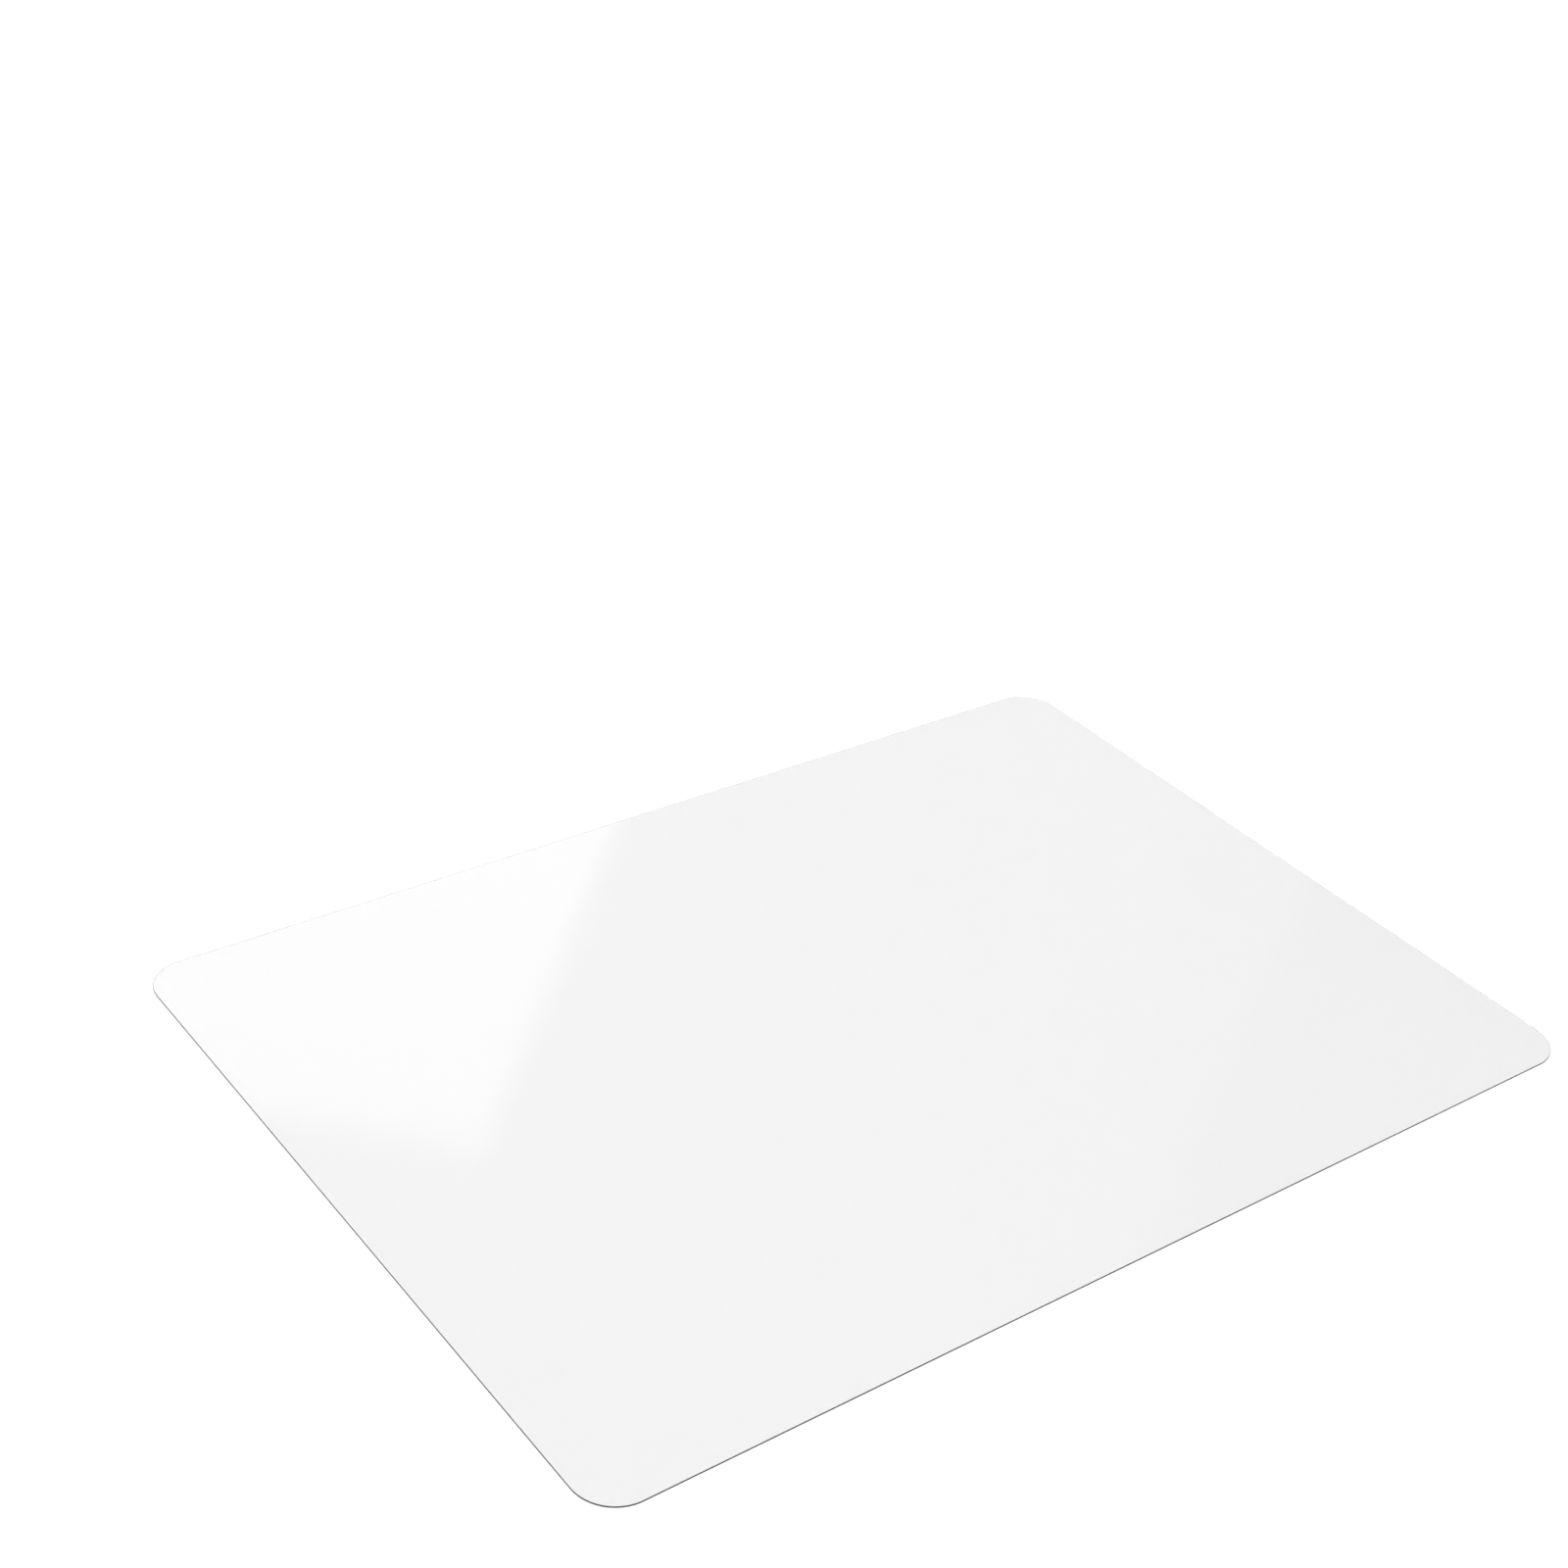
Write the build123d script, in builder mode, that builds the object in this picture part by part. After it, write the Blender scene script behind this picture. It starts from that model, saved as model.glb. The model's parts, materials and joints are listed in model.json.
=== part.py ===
from build123d import *

from math import asin, degrees, pi, sqrt
import os

# A clear rigid-vinyl chair mat, 1 m wide and 1.4 m long, that lies flat under an office chair.
#
# The mat is one sheet, cut square with four round corners and with its rims lightly broken. It has no
# hinges of its own: the sheet itself bends, and for carrying it is rolled up from its rear edge. To let
# its rear half roll, the sheet is modelled as a flat front panel and a row of narrow strips that meet
# face to face and turn about the sheet's top surface. The first strip turns by half as much as each of
# the others, so that the roll stands on the floor along one line, as a round tube does. Each strip is a
# little narrower than the one before, so that the row winds into a spiral with an even gap between its
# turns.
#
# The frame has +X across the mat, +Y from the front edge to the rear edge and +Z up, with the origin
# under the middle of the mat, on the floor. All sizes are in millimetres.

# The sheet.
MAT_WIDTH = 1000.0
MAT_LENGTH = 1400.0
SHEET_THICKNESS = 2.0
CORNER_RADIUS = 50.0
RIM_CHAMFER = 0.3

# The roll. The front panel is what still lies flat when the strips are wound up.
FRONT_PANEL_LENGTH = 700.0
ROLL_HOLE_DIAMETER = 52.0
TURN_GAP = 7.6
STRIP_COUNT = 28

# What follows from them. The strips turn about the sheet's top surface, which is the inner side of
# the roll, so the radii are taken there. The outer one is that of a spiral as long as the strips.
FRONT_EDGE = -MAT_LENGTH / 2
REAR_EDGE = MAT_LENGTH / 2
ROLLED_LENGTH = MAT_LENGTH - FRONT_PANEL_LENGTH
TURN_SPACING = SHEET_THICKNESS + TURN_GAP
INNER_RADIUS = ROLL_HOLE_DIAMETER / 2
OUTER_RADIUS = sqrt(INNER_RADIUS**2 + ROLLED_LENGTH * TURN_SPACING / pi)


def strip_radii():
    """The radius at which each strip lies in the roll, from the front panel to the rear edge."""
    step = (OUTER_RADIUS - INNER_RADIUS) / STRIP_COUNT
    return [OUTER_RADIUS - step * (number + 0.5) for number in range(STRIP_COUNT)]


def strip_lines():
    """Where along Y the strips meet: each strip is as long as a chord at its own radius."""
    radii = strip_radii()
    lines = [FRONT_EDGE + FRONT_PANEL_LENGTH]
    for radius in radii:
        lines.append(lines[-1] + ROLLED_LENGTH * radius / sum(radii))
    return lines


def strip_turns():
    """The angle in degrees that each strip turns by on the one before it, when the mat is rolled up.

    A circle that lies on the floor leaves it along its first chord, at half of the angle between two
    chords.
    """
    turn = degrees(2 * asin(ROLLED_LENGTH / (2 * sum(strip_radii()))))
    return [turn / 2] + [turn] * (STRIP_COUNT - 1)


def cut_sheet(start, end):
    """The flat sheet between two lines across it, with its outer rims broken."""
    with BuildPart() as piece:
        with BuildSketch():
            RectangleRounded(MAT_WIDTH, MAT_LENGTH, CORNER_RADIUS)
            with Locations((0, (start + end) / 2)):
                Rectangle(MAT_WIDTH, end - start, mode=Mode.INTERSECT)
        extrude(amount=SHEET_THICKNESS)
        flat_rims = piece.edges().group_by(Axis.Z)[0] + piece.edges().group_by(Axis.Z)[-1]
        joint_lines = [
            edge
            for edge in flat_rims.filter_by(Axis.X)
            if any(abs(edge.center().Y - line) < RIM_CHAMFER for line in inner_cuts(start, end))
        ]
        chamfer([edge for edge in flat_rims if edge not in joint_lines], RIM_CHAMFER)
    return piece


def inner_cuts(start, end):
    """Which of a piece's two lines are inside the sheet, where it runs on into its neighbour."""
    return [line for line in (start, end) if FRONT_EDGE < line < REAR_EDGE]


def main():
    os.makedirs("parts", exist_ok=True)
    lines = strip_lines()
    lines[-1] = REAR_EDGE

    front_panel = cut_sheet(FRONT_EDGE, lines[0])
    front_panel.part.label = "sheet_front_panel"
    export_step(front_panel.part, "parts/sheet_front_panel.step")

    for number, (start, end) in enumerate(zip(lines, lines[1:]), start=1):
        strip = cut_sheet(start, end)
        strip.part.label = f"sheet_strip_{number:02d}"
        export_step(strip.part, f"parts/{strip.part.label}.step")

    print(f"strip turns {strip_turns()[0]:.4f} and {strip_turns()[-1]:.4f} deg, "
          f"{sum(strip_turns()) / 360:.2f} turns, roll {2 * (OUTER_RADIUS + SHEET_THICKNESS):.1f} mm across")
    print(f"strips {lines[1] - lines[0]:.2f} to {lines[-1] - lines[-2]:.2f} mm long")


main()
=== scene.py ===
"""Dresses a clear vinyl chair mat: one glossy sheet whose rear half winds up, on a pale studio floor.

The sheet is modelled once, in one piece, and copies of it are trimmed to a front panel and one bend for
each joint. Each bend reaches from the middle of one strip to the middle of the next, so that the sheet
shows no join when it lies flat.
"""

import json
from math import radians

import bpy
import numpy as np
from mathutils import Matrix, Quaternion, Vector

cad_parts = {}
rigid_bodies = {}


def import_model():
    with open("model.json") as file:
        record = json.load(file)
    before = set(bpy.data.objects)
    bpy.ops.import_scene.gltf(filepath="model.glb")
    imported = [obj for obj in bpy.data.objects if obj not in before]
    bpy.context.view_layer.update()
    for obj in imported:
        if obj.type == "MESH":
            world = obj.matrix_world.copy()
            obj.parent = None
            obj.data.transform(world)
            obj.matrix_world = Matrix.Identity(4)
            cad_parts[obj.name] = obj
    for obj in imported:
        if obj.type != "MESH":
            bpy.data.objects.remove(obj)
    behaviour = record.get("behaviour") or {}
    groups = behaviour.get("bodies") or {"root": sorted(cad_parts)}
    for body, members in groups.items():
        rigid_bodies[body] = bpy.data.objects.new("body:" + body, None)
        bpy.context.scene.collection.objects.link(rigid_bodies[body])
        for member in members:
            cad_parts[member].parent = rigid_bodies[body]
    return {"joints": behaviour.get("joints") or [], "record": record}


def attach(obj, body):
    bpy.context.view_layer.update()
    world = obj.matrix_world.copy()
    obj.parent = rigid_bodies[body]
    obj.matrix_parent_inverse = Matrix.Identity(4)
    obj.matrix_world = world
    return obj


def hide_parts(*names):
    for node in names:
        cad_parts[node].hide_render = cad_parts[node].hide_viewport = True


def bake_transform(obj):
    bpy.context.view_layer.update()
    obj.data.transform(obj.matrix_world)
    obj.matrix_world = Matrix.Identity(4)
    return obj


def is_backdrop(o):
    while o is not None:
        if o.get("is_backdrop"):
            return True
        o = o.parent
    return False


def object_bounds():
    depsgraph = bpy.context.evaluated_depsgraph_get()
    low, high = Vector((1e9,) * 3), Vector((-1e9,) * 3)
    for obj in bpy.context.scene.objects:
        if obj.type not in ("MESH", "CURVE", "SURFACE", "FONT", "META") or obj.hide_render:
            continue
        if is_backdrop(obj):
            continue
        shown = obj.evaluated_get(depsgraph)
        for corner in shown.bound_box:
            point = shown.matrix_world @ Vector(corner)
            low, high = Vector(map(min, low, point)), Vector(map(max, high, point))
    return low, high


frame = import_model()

bl_info = {
    "name": "Clear chair mat",
    "version": (1, 0, 0),
    "blender": (4, 5, 0),
    "location": "3D View > Sidebar > Chair Mat",
    "description": "Builds the clear sheet of a chair mat and the studio that it lies in",
    "category": "Object",
}

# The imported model's box, and its joints from the front panel to the rear edge.
CAD_LOW, CAD_HIGH = (Vector(corner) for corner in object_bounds())
JOINTS = sorted(frame["joints"], key=lambda joint: joint["pos_m"][1])
HINGE_LINES = [joint["pos_m"][1] for joint in JOINTS]
BODIES = [JOINTS[0]["parent"]] + [joint["child"] for joint in JOINTS]
NODES = [frame["record"]["behaviour"]["bodies"][body][0] for body in BODIES]

# These are the values of t at each bend's two ends, where t goes from 0 to 1 along the bend's reach and a
# share rises as 3t^2 - 2t^3 along it. Each bend's reach is worked out from them, but nothing here makes a
# bend follow its joint's turn. The first joint turns half as far, and its bend's span starts at t = 0.
BEND_SPAN = (0.317, 0.683)
FIRST_BEND_SPAN = (0.0, 0.5164)
FIRST_BEND_LEAD = 0.3138

# Where one piece ends and the next begins: a little in front of the first joint, then the middle of
# every strip. The last bend runs on to the rear edge.
STRIP_ENDS = HINGE_LINES + [CAD_HIGH.y]
STRIP_MIDDLES = [(near + far) / 2 for near, far in zip(STRIP_ENDS, STRIP_ENDS[1:])]
BEND_START = HINGE_LINES[0] - FIRST_BEND_LEAD * (STRIP_ENDS[1] - STRIP_ENDS[0])
BEND_ENDS = [BEND_START] + STRIP_MIDDLES

BLANK = "sheet_blank"
BROAD_FACES, CUT_EDGES, HIDDEN_JOINS = "mat_broad_faces", "mat_cut_edges", "mat_hidden_joins"
FLAT_MAP = "flat"
SAME_PLACE = 1e-6
# A face looks straight along an axis when its normal's part along that axis is more than this.
SQUARE_ON = 0.99
# Faces that meet at more than this stay sharp, which keeps the broad faces flat up to the rim.
SMOOTH_ANGLE = radians(10)

# The heights of the vinyl's orange peel beside its ripple, the weights of its scratches and worn
# patches, and the share of the cut edge given frosting and a near-black painted shade: evenly, and
# by the blade's strokes.
PEEL_HEIGHT = 0.004
SCRATCH_WEIGHT = 0.45
PATCH_WEIGHT = 0.15
EVEN_FROST_AND_SHADE = 0.92
STROKE_FROST_AND_SHADE = 0.16


# ---------------------------------------------------------------------------------------------
# Settings
# ---------------------------------------------------------------------------------------------


class SheetSettings(bpy.types.PropertyGroup):
    """The sizes of the sheet that its box doesn't give."""

    corner_radius: bpy.props.FloatProperty(
        name="Corner radius",
        description="Radius of the four corners, seen from above",
        default=0.05,
        min=0.001,
        unit="LENGTH",
    )
    corner_segments: bpy.props.IntProperty(
        name="Corner segments",
        description="How many flat faces make each corner",
        default=24,
        min=2,
    )
    rim_radius: bpy.props.FloatProperty(
        name="Rim radius",
        description="How far the cut rim is rounded over, above and below",
        default=0.0003,
        min=0.0001,
        unit="LENGTH",
    )
    rim_segments: bpy.props.IntProperty(
        name="Rim segments",
        description="How many flat faces make each rounded rim",
        default=3,
        min=1,
    )
    bend_columns: bpy.props.IntProperty(
        name="Bend columns",
        description="How many columns of faces each bend curves with",
        default=8,
        min=2,
    )
    end_column: bpy.props.FloatProperty(
        name="End column",
        description="Width of the narrow column at each end of a bend, which keeps its gloss in line",
        default=0.0003,
        min=0.0001,
        unit="LENGTH",
    )


class FinishSettings(bpy.types.PropertyGroup):
    """The colours of the vinyl and how glossy it is."""

    clear_tint: bpy.props.FloatVectorProperty(
        name="Clear tint",
        description="What the sheet lets through, by its two faces together",
        default=(0.946, 0.946, 0.947),
        size=3,
        subtype="COLOR",
        min=0.0,
        max=1.0,
    )
    # Painted shade: the near-black colour painted on the cut edge where it faces out. It stands in for the
    # dark look that light guided through the clear sheet gives the edge.
    edge_painted_shade: bpy.props.FloatVectorProperty(
        name="Edge colour",
        description="The colour that the cut edge gathers, seen from outside the sheet",
        default=(0.025, 0.027, 0.032),
        size=3,
        subtype="COLOR",
        min=0.0,
        max=1.0,
    )
    haze: bpy.props.FloatProperty(
        name="Haze",
        description="The share of the light inside the sheet that comes out at any angle",
        default=0.35,
        min=0.0,
        max=1.0,
    )
    refraction: bpy.props.FloatProperty(
        name="Refractive index",
        description="Refractive index of clear vinyl",
        default=1.53,
        min=1.0,
    )


class StageSettings(bpy.types.PropertyGroup):
    """The studio that the mat lies in."""

    floor_colour: bpy.props.FloatVectorProperty(
        name="Floor colour",
        description="Colour of the studio floor",
        default=(0.93, 0.93, 0.93),
        size=3,
        subtype="COLOR",
        min=0.0,
        max=1.0,
    )
    floor_size: bpy.props.FloatProperty(
        name="Floor size",
        description="Length of each side of the floor",
        default=60.0,
        unit="LENGTH",
    )
    floor_gap: bpy.props.FloatProperty(
        name="Floor gap",
        description="The film of air between the sheet and the floor",
        default=0.0004,
        unit="LENGTH",
    )
    horizon_strength: bpy.props.FloatProperty(
        name="Horizon strength",
        description="Brightness of the pale walls, level with the floor",
        default=1.02,
    )
    sky_strength: bpy.props.FloatProperty(
        name="Sky strength",
        description="Brightness of the surroundings higher up",
        default=0.35,
    )
    sky_rise: bpy.props.FloatProperty(
        name="Sky rise",
        description="Sine of the height at which the walls have faded into the sky",
        default=0.4,
    )
    overhead_strength: bpy.props.FloatProperty(
        name="Overhead strength",
        description="Brightness of the even overhead light",
        default=2.3,
    )


# ---------------------------------------------------------------------------------------------
# Materials
# ---------------------------------------------------------------------------------------------


class Value:
    """A shader socket that Python's operators work on: each one adds a Math node."""

    def __init__(self, graph, socket):
        self.graph = graph
        self.socket = socket

    def __add__(self, other):
        return self.graph.math("ADD", self, other)

    def __radd__(self, other):
        return self.graph.math("ADD", other, self)

    def __rsub__(self, other):
        return self.graph.math("SUBTRACT", other, self)

    def __mul__(self, other):
        return self.graph.math("MULTIPLY", self, other)

    def __rmul__(self, other):
        return self.graph.math("MULTIPLY", other, self)


class Graph:
    """The node tree of a material or of the sky."""

    def __init__(self, owner):
        self.owner = owner
        owner.use_nodes = True
        self.nodes = owner.node_tree.nodes
        self.links = owner.node_tree.links
        self.nodes.clear()

    def node(self, kind, settings=None, inputs=None, output=0):
        """A node of one kind: its settings are made first, then its sockets get values or links."""
        node = self.nodes.new(kind)
        settings = dict(settings or {})
        stops = settings.pop("stops", ())
        for name, setting in settings.items():
            setattr(node, name, setting)
        for element, (place, shade) in zip(node.color_ramp.elements if stops else (), stops):
            element.position = place
            element.color = (shade, shade, shade, 1)
        for name, value in (inputs or {}).items():
            if isinstance(value, Value):
                self.links.new(value.socket, node.inputs[name])
            else:
                node.inputs[name].default_value = value
        return Value(self, node.outputs[output]) if node.outputs else node

    def math(self, operation, first, second):
        return self.node("ShaderNodeMath", {"operation": operation}, {0: first, 1: second})

    def flat_place(self, scale=(1, 1, 1), turn=0.0):
        """Places on the sheet as it lies flat, in metres, from the piece's own map."""
        flat = self.node("ShaderNodeUVMap", {"uv_map": FLAT_MAP})
        return self.node(
            "ShaderNodeMapping", {}, {"Vector": flat, "Scale": scale, "Rotation": (0, 0, turn)}
        )

    def noise(self, place, scale, detail):
        return self.node("ShaderNodeTexNoise", {}, {"Vector": place, "Scale": scale, "Detail": detail})

    def mix(self, share, first, second):
        return self.node("ShaderNodeMixShader", {}, {0: share, 1: first, 2: second})

    def lit_through(self, shader, passed):
        """The shader, which lamps and the light off the floor pass straight through."""
        straight = self.node("ShaderNodeBsdfTransparent", {}, {"Color": passed})
        for ray in ("Is Diffuse Ray", "Is Shadow Ray"):
            shader = self.mix(self.node("ShaderNodeLightPath", output=ray), shader, straight)
        return shader

    def finish(self, shader, output="ShaderNodeOutputMaterial"):
        self.node(output, {}, {"Surface": shader})
        return self.owner


def opaque(colour):
    return (*colour, 1.0)


def clear_vinyl(finish):
    """Rolled clear vinyl: a calendered surface that ripples a little, with fine scuffs in its gloss."""
    graph = Graph(bpy.data.materials.new(BROAD_FACES))
    ripple = graph.noise(graph.flat_place(scale=(1, 0.45, 1)), scale=5.0, detail=1.0)
    peel = graph.noise(graph.flat_place(), scale=140.0, detail=2.0)
    relief = graph.node(
        "ShaderNodeBump",
        {},
        {"Height": ripple + PEEL_HEIGHT * peel, "Strength": 0.16, "Distance": 0.004},
    )
    along = graph.noise(graph.flat_place(scale=(900, 9, 1), turn=radians(24)), scale=1.0, detail=3.0)
    across = graph.noise(graph.flat_place(scale=(12, 800, 1), turn=radians(-9)), scale=1.0, detail=3.0)
    wear = graph.noise(graph.flat_place(), scale=3.2, detail=3.0)
    scuffs = graph.node(
        "ShaderNodeValToRGB",
        {"stops": [(0.60, 0.0), (0.78, 1.0)]},
        {"Fac": (along + across) * SCRATCH_WEIGHT + wear * PATCH_WEIGHT},
    )
    vinyl = graph.node(
        "ShaderNodeBsdfPrincipled",
        {},
        {
            "Base Color": opaque(finish.clear_tint),
            "Transmission Weight": 1.0,
            "IOR": finish.refraction,
            "Roughness": 0.05 + 0.05 * wear + 0.10 * scuffs,
            "Normal": relief,
        },
    )
    passed = opaque(channel**0.5 for channel in finish.clear_tint)
    inside = graph.node("ShaderNodeNewGeometry", output="Backfacing")
    straight = graph.node("ShaderNodeBsdfTransparent", {}, {"Color": passed})
    hazy = graph.mix(finish.haze * inside, vinyl, straight)
    return graph.finish(graph.lit_through(hazy, passed))


def cut_edge(finish):
    """The cut edge, with the faint lines that a blade leaves.

    Seen from outside it is painted a near-black shade, which stands in for the dark look that the light
    coming a long way through the sheet gives it.
    Seen from inside, through the top of the sheet, it is clear.
    """
    graph = Graph(bpy.data.materials.new(CUT_EDGES))
    strokes = graph.noise(graph.flat_place(), scale=260.0, detail=3.0)
    relief = graph.node("ShaderNodeBump", {}, {"Height": strokes, "Strength": 0.3, "Distance": 0.0004})
    clear = graph.node(
        "ShaderNodeBsdfPrincipled",
        {},
        {
            "Base Color": opaque(finish.clear_tint),
            "Transmission Weight": 1.0,
            "IOR": finish.refraction,
            "Roughness": 0.12,
            "Normal": relief,
        },
    )
    # This edge shader is rough like a frosted cut, and its near-black colour is painted shade.
    frosted_painted_shade = graph.node(
        "ShaderNodeBsdfPrincipled",
        {},
        {
            "Base Color": opaque(finish.edge_painted_shade),
            "Roughness": 0.35,
            "IOR": finish.refraction,
            "Normal": relief,
        },
    )
    inside = graph.node("ShaderNodeNewGeometry", output="Backfacing")
    # Painted shade: from outside, the edge is mostly the dark painted shader, more so along the blade's
    # strokes; from inside it stays clear.
    edge = graph.mix((EVEN_FROST_AND_SHADE + STROKE_FROST_AND_SHADE * strokes) * (1 - inside), clear, frosted_painted_shade)
    passed = opaque(channel**0.5 for channel in finish.clear_tint)
    return graph.finish(graph.lit_through(edge, passed))


def open_join():
    """The hidden faces where one piece of the sheet runs on into the next: nothing shows there."""
    graph = Graph(bpy.data.materials.new(HIDDEN_JOINS))
    return graph.finish(graph.node("ShaderNodeBsdfPrincipled", {}, {"Alpha": 0.0}))


# ---------------------------------------------------------------------------------------------
# Modelling
# ---------------------------------------------------------------------------------------------


def select_edges(obj, wanted):
    """In edit mode, selects the edges whose two ends pass a test, and nothing else."""
    bpy.ops.mesh.select_mode(type="EDGE")
    bpy.ops.mesh.select_all(action="DESELECT")
    bpy.ops.object.mode_set(mode="OBJECT")
    vertices = obj.data.vertices
    for edge in obj.data.edges:
        edge.select = wanted(*(vertices[index].co for index in edge.vertices))
    bpy.ops.object.mode_set(mode="EDIT")


def make_active(obj):
    bpy.ops.object.select_all(action="DESELECT")
    obj.select_set(True)
    bpy.context.view_layer.objects.active = obj


def copy_blank(name):
    """A copy of the whole sheet with a mesh of its own, ready to be trimmed."""
    blank = bpy.data.objects[BLANK]
    piece = blank.copy()
    piece.data = blank.data.copy()
    piece.name = piece.data.name = name
    bpy.context.collection.objects.link(piece)
    make_active(piece)
    return piece


def cut_across(line, **keep):
    """In edit mode, cuts the sheet along a line across it. keep says which side goes and what fills it."""
    bpy.ops.mesh.select_all(action="SELECT")
    bpy.ops.mesh.bisect(plane_co=(0, line, 0), plane_no=(0, 1, 0), **keep)


def map_flat(mesh):
    """Gives every corner its place on the flat sheet, in metres, so that patterns stay put when it bends."""
    layer = mesh.uv_layers.get(FLAT_MAP) or mesh.uv_layers.new(name=FLAT_MAP)
    places = np.empty(3 * len(mesh.vertices), np.float32)
    mesh.vertices.foreach_get("co", places)
    corners = np.empty(len(mesh.loops), np.int32)
    mesh.loops.foreach_get("vertex_index", corners)
    layer.data.foreach_set("uv", places.reshape(-1, 3)[corners, :2].ravel())


def paint_faces(piece, joins):
    """Gives each face its material: the broad faces, the cut edges, and the hidden joins."""
    names = (BROAD_FACES, CUT_EDGES, HIDDEN_JOINS)
    for name in names:
        piece.data.materials.append(bpy.data.materials[name])
    for face in piece.data.polygons:
        crosswise = abs(face.normal.y) > SQUARE_ON
        if crosswise and any(abs(face.center.y - line) < SAME_PLACE for line in joins):
            face.material_index = names.index(HIDDEN_JOINS)
        elif abs(face.normal.z) < SQUARE_ON:
            face.material_index = names.index(CUT_EDGES)


def trim(name, start=None, end=None, columns=()):
    """A piece of the sheet between two lines across it, or out to its edge, cut into columns."""
    piece = copy_blank(name)
    bpy.ops.object.mode_set(mode="EDIT")
    if start is not None:
        cut_across(start, use_fill=True, clear_inner=True)
    if end is not None:
        cut_across(end, use_fill=True, clear_outer=True)
    for line in columns:
        cut_across(line)
    bpy.ops.object.mode_set(mode="OBJECT")
    bpy.ops.object.shade_smooth_by_angle(angle=SMOOTH_ANGLE)
    map_flat(piece.data)
    paint_faces(piece, [line for line in (start, end) if line is not None])
    return piece


class CHAIRMAT_OT_materials(bpy.types.Operator):
    """Makes the vinyl's materials"""

    bl_idname = "chairmat.materials"
    bl_label = "Vinyl materials"

    def execute(self, context):
        finish = context.scene.chairmat_finish
        clear_vinyl(finish)
        cut_edge(finish)
        open_join()
        return {"FINISHED"}


class CHAIRMAT_OT_blank(bpy.types.Operator):
    """Models the whole sheet in one piece: a slab with round corners and rounded rims"""

    bl_idname = "chairmat.blank"
    bl_label = "Sheet blank"

    def execute(self, context):
        settings = context.scene.chairmat_sheet
        bpy.ops.object.select_all(action="DESELECT")
        bpy.ops.mesh.primitive_cube_add(size=1.0, location=(CAD_LOW + CAD_HIGH) / 2)
        blank = context.object
        blank.name = blank.data.name = BLANK
        blank.scale = CAD_HIGH - CAD_LOW
        bpy.ops.object.transform_apply(location=True, rotation=True, scale=True)

        bpy.ops.object.mode_set(mode="EDIT")
        select_edges(blank, lambda a, b: abs(a.z - b.z) > SAME_PLACE)
        bpy.ops.mesh.bevel(
            offset=settings.corner_radius, segments=settings.corner_segments, affect="EDGES"
        )
        select_edges(blank, lambda a, b: abs(a.z - b.z) < SAME_PLACE)
        bpy.ops.mesh.bevel(offset=settings.rim_radius, segments=settings.rim_segments, affect="EDGES")
        bpy.ops.object.mode_set(mode="OBJECT")
        return {"FINISHED"}


class CHAIRMAT_OT_front_panel(bpy.types.Operator):
    """Trims the flat front panel, with the two front corners"""

    bl_idname = "chairmat.front_panel"
    bl_label = "Front panel"

    def execute(self, context):
        panel = trim("front_panel_sheet", end=BEND_START)
        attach(panel, BODIES[0])
        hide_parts(NODES[0])
        return {"FINISHED"}


class CHAIRMAT_OT_bends(bpy.types.Operator):
    """Trims one bend for each joint, from the middle of one strip to the middle of the next"""

    bl_idname = "chairmat.bends"
    bl_label = "Bends"

    def execute(self, context):
        settings = context.scene.chairmat_sheet
        for number, (near, far) in enumerate(zip(BEND_ENDS, BEND_ENDS[1:]), start=1):
            steps = np.linspace(near, far, settings.bend_columns + 1)
            last = number == len(JOINTS)
            ends = (near + settings.end_column, far - settings.end_column)
            columns = [*steps[1:-1], *ends]
            if last:
                columns += [far, (far + CAD_HIGH.y) / 2]
            bend = trim(f"bend_sheet_{number:02d}", near, None if last else far, columns)
            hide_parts(NODES[number])

            first_t, last_t = FIRST_BEND_SPAN if number == 1 else BEND_SPAN
            reach = (far - near) / (last_t - first_t)
            start = near - first_t * reach
            BODIES[number - 1]
            start + reach
            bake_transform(bend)
        bpy.data.objects.remove(bpy.data.objects[BLANK])
        return {"FINISHED"}


# ---------------------------------------------------------------------------------------------
# Studio
# ---------------------------------------------------------------------------------------------

# The camera looks down at the mat over its right front corner, leaning a little to one side.
CAMERA_PLACE = Vector((1.893, -1.687, 1.865))
CAMERA_TARGET = Vector((-0.471, 0.228, 0.0))
CAMERA_LEAN = radians(5.13)
CAMERA_LENS_MM = 60.0
SENSOR_MM = 36.0
LAYERS_SEEN = 32

# The overhead light leans a little, and is as wide as a diffuser.
OVERHEAD_PLACE = (0, 0, 4)
OVERHEAD_TURN = (radians(8), radians(8), 0)
OVERHEAD_SPREAD = radians(40)

# Two soft boxes hang level behind the mat, where its gloss mirrors them to the camera: a wide dim one
# over most of the sheet, and a small bright one, a little lower, over the left corner.
WIDE_BOX = {"place": (-3.18, 1.78, 2.5), "turn": -58.2, "size": 5.4, "size_y": 3.6, "energy": 11}
SMALL_BOX = {"place": (-3.51, 1.05, 2.3), "turn": -45.5, "size": 1.8, "size_y": 1.45, "energy": 6.9}


def add_light(name, kind, place, rotation, energy, **settings):
    """A light that shines down its own -Z axis."""
    data = bpy.data.lights.new(name, kind)
    data.energy = energy
    for setting, value in settings.items():
        setattr(data, setting, value)
    light = bpy.data.objects.new(name, data)
    light.location = place
    light.rotation_euler = rotation
    bpy.context.collection.objects.link(light)


def hang_soft_box(name, place, turn, size, size_y, energy):
    add_light(
        name,
        "AREA",
        place,
        (0, 0, radians(turn)),
        energy,
        shape="RECTANGLE",
        size=size,
        size_y=size_y,
    )


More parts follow.
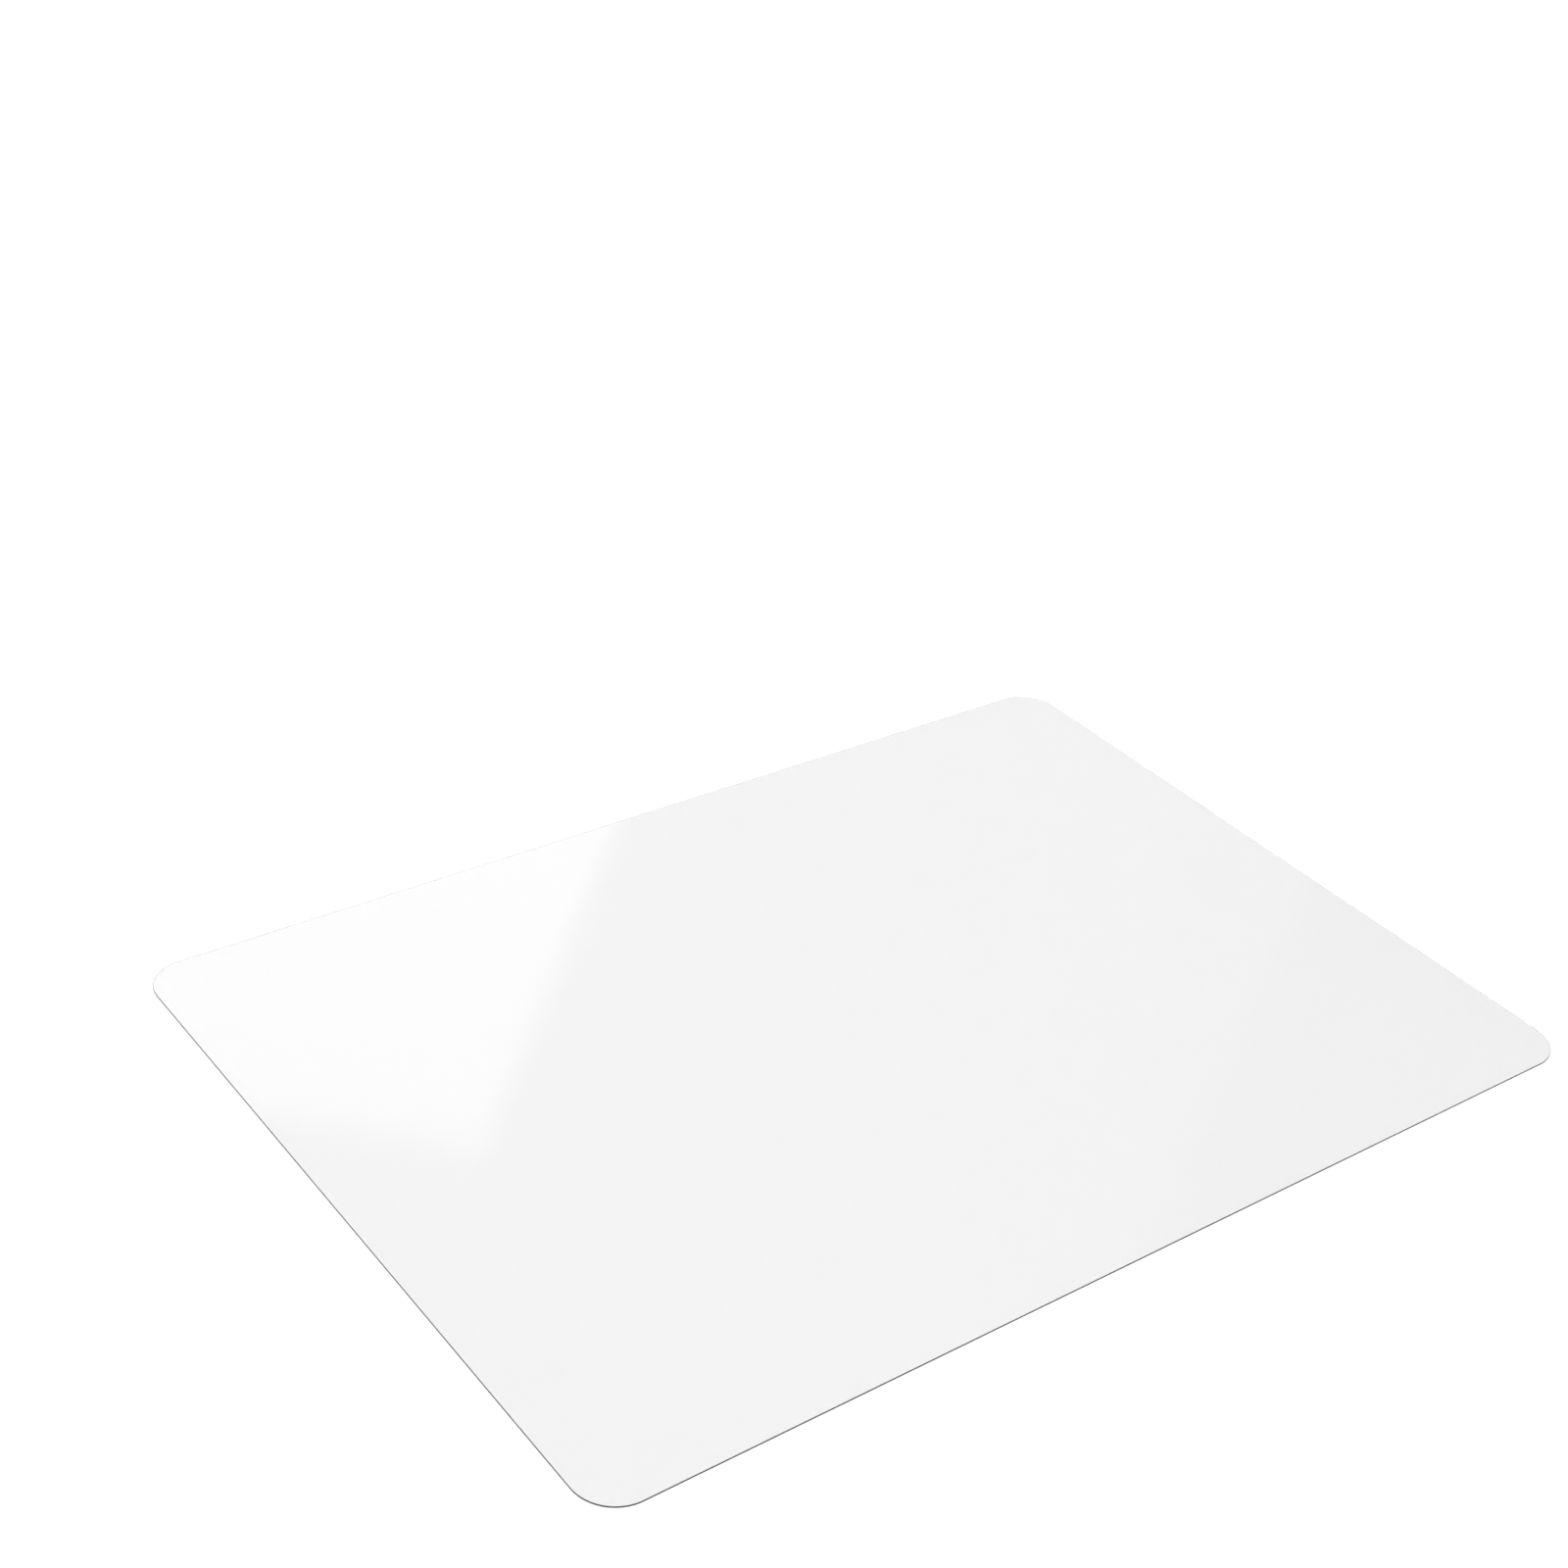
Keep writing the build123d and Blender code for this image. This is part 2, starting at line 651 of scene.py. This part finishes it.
class CHAIRMAT_OT_stage(bpy.types.Operator):
    """Sets up the pale floor, the soft lights and the camera"""

    bl_idname = "chairmat.stage"
    bl_label = "Studio"

    def execute(self, context):
        settings = context.scene.chairmat_stage
        self.add_floor(settings)
        self.add_sky(context.scene, settings)
        self.add_lights(settings)
        self.add_camera(context.scene)
        self.allow_for_layers(context.scene)
        return {"FINISHED"}

    def add_floor(self, settings):
        bpy.ops.object.select_all(action="DESELECT")
        bpy.ops.mesh.primitive_plane_add(
            size=settings.floor_size, location=(0, 0, CAD_LOW.z - settings.floor_gap)
        )
        floor = bpy.context.object
        floor.name = floor.data.name = "studio_floor"
        graph = Graph(bpy.data.materials.new("studio_floor"))
        paint = graph.node(
            "ShaderNodeBsdfPrincipled",
            {},
            {
                "Base Color": opaque(settings.floor_colour),
                "Roughness": 0.9,
                "Specular IOR Level": 0.0,
            },
        )
        floor.data.materials.append(graph.finish(paint))
        floor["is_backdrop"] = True

    def add_sky(self, scene, settings):
        graph = Graph(bpy.data.worlds.new("studio_sky"))
        direction = graph.node("ShaderNodeTexCoord", output="Generated")
        height = graph.node("ShaderNodeSeparateXYZ", {}, {"Vector": direction}, output="Z")
        brightness = graph.node(
            "ShaderNodeMapRange",
            {"interpolation_type": "SMOOTHSTEP"},
            {
                "Value": height,
                "From Min": 0.0,
                "From Max": settings.sky_rise,
                "To Min": settings.horizon_strength,
                "To Max": settings.sky_strength,
            },
        )
        sky = graph.node("ShaderNodeBackground", {}, {"Color": (1, 1, 1, 1), "Strength": brightness})
        scene.world = graph.finish(sky, "ShaderNodeOutputWorld")

    def add_lights(self, settings):
        add_light(
            "overhead_light",
            "SUN",
            OVERHEAD_PLACE,
            OVERHEAD_TURN,
            settings.overhead_strength,
            angle=OVERHEAD_SPREAD,
        )
        hang_soft_box("wide_soft_box", **WIDE_BOX)
        hang_soft_box("small_soft_box", **SMALL_BOX)

    def add_camera(self, scene):
        data = bpy.data.cameras.new("studio_camera")
        data.sensor_width = SENSOR_MM
        data.lens = CAMERA_LENS_MM
        camera = bpy.data.objects.new("studio_camera", data)
        camera.location = CAMERA_PLACE
        camera.rotation_mode = "QUATERNION"
        level = (CAMERA_TARGET - CAMERA_PLACE).to_track_quat("-Z", "Y")
        camera.rotation_quaternion = level @ Quaternion((0, 0, 1), CAMERA_LEAN)
        bpy.context.collection.objects.link(camera)
        scene.camera = camera
        scene.view_settings.view_transform = "Standard"

    def allow_for_layers(self, scene):
        """Lets light through every turn of the rolled sheet."""
        scene.cycles.max_bounces = LAYERS_SEEN
        scene.cycles.transmission_bounces = LAYERS_SEEN
        scene.cycles.transparent_max_bounces = LAYERS_SEEN


# ---------------------------------------------------------------------------------------------
# Sidebar, registration and running
# ---------------------------------------------------------------------------------------------

STEPS = (
    CHAIRMAT_OT_materials,
    CHAIRMAT_OT_blank,
    CHAIRMAT_OT_front_panel,
    CHAIRMAT_OT_bends,
    CHAIRMAT_OT_stage,
)

SETTINGS = {
    "chairmat_sheet": SheetSettings,
    "chairmat_finish": FinishSettings,
    "chairmat_stage": StageSettings,
}


class CHAIRMAT_PT_sidebar(bpy.types.Panel):
    """Lists the mat's settings and the steps that build it"""

    bl_idname = "CHAIRMAT_PT_sidebar"
    bl_label = "Chair Mat"
    bl_space_type = "VIEW_3D"
    bl_region_type = "UI"
    bl_category = "Chair Mat"

    def draw(self, context):
        for name, group in SETTINGS.items():
            box = self.layout.box()
            for setting in group.__annotations__:
                box.prop(getattr(context.scene, name), setting)
        for step in STEPS:
            self.layout.operator(step.bl_idname)


CLASSES = (*SETTINGS.values(), *STEPS, CHAIRMAT_PT_sidebar)


def register():
    for entry in CLASSES:
        bpy.utils.register_class(entry)
    for name, group in SETTINGS.items():
        setattr(bpy.types.Scene, name, bpy.props.PointerProperty(type=group))


def unregister():
    for name in SETTINGS:
        delattr(bpy.types.Scene, name)
    for entry in reversed(CLASSES):
        bpy.utils.unregister_class(entry)


def main():
    register()
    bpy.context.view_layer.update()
    bpy.ops.chairmat.materials()
    bpy.ops.chairmat.blank()
    bpy.ops.chairmat.front_panel()
    bpy.ops.chairmat.bends()
    bpy.ops.chairmat.stage()


if __name__ == "__main__":
    main()
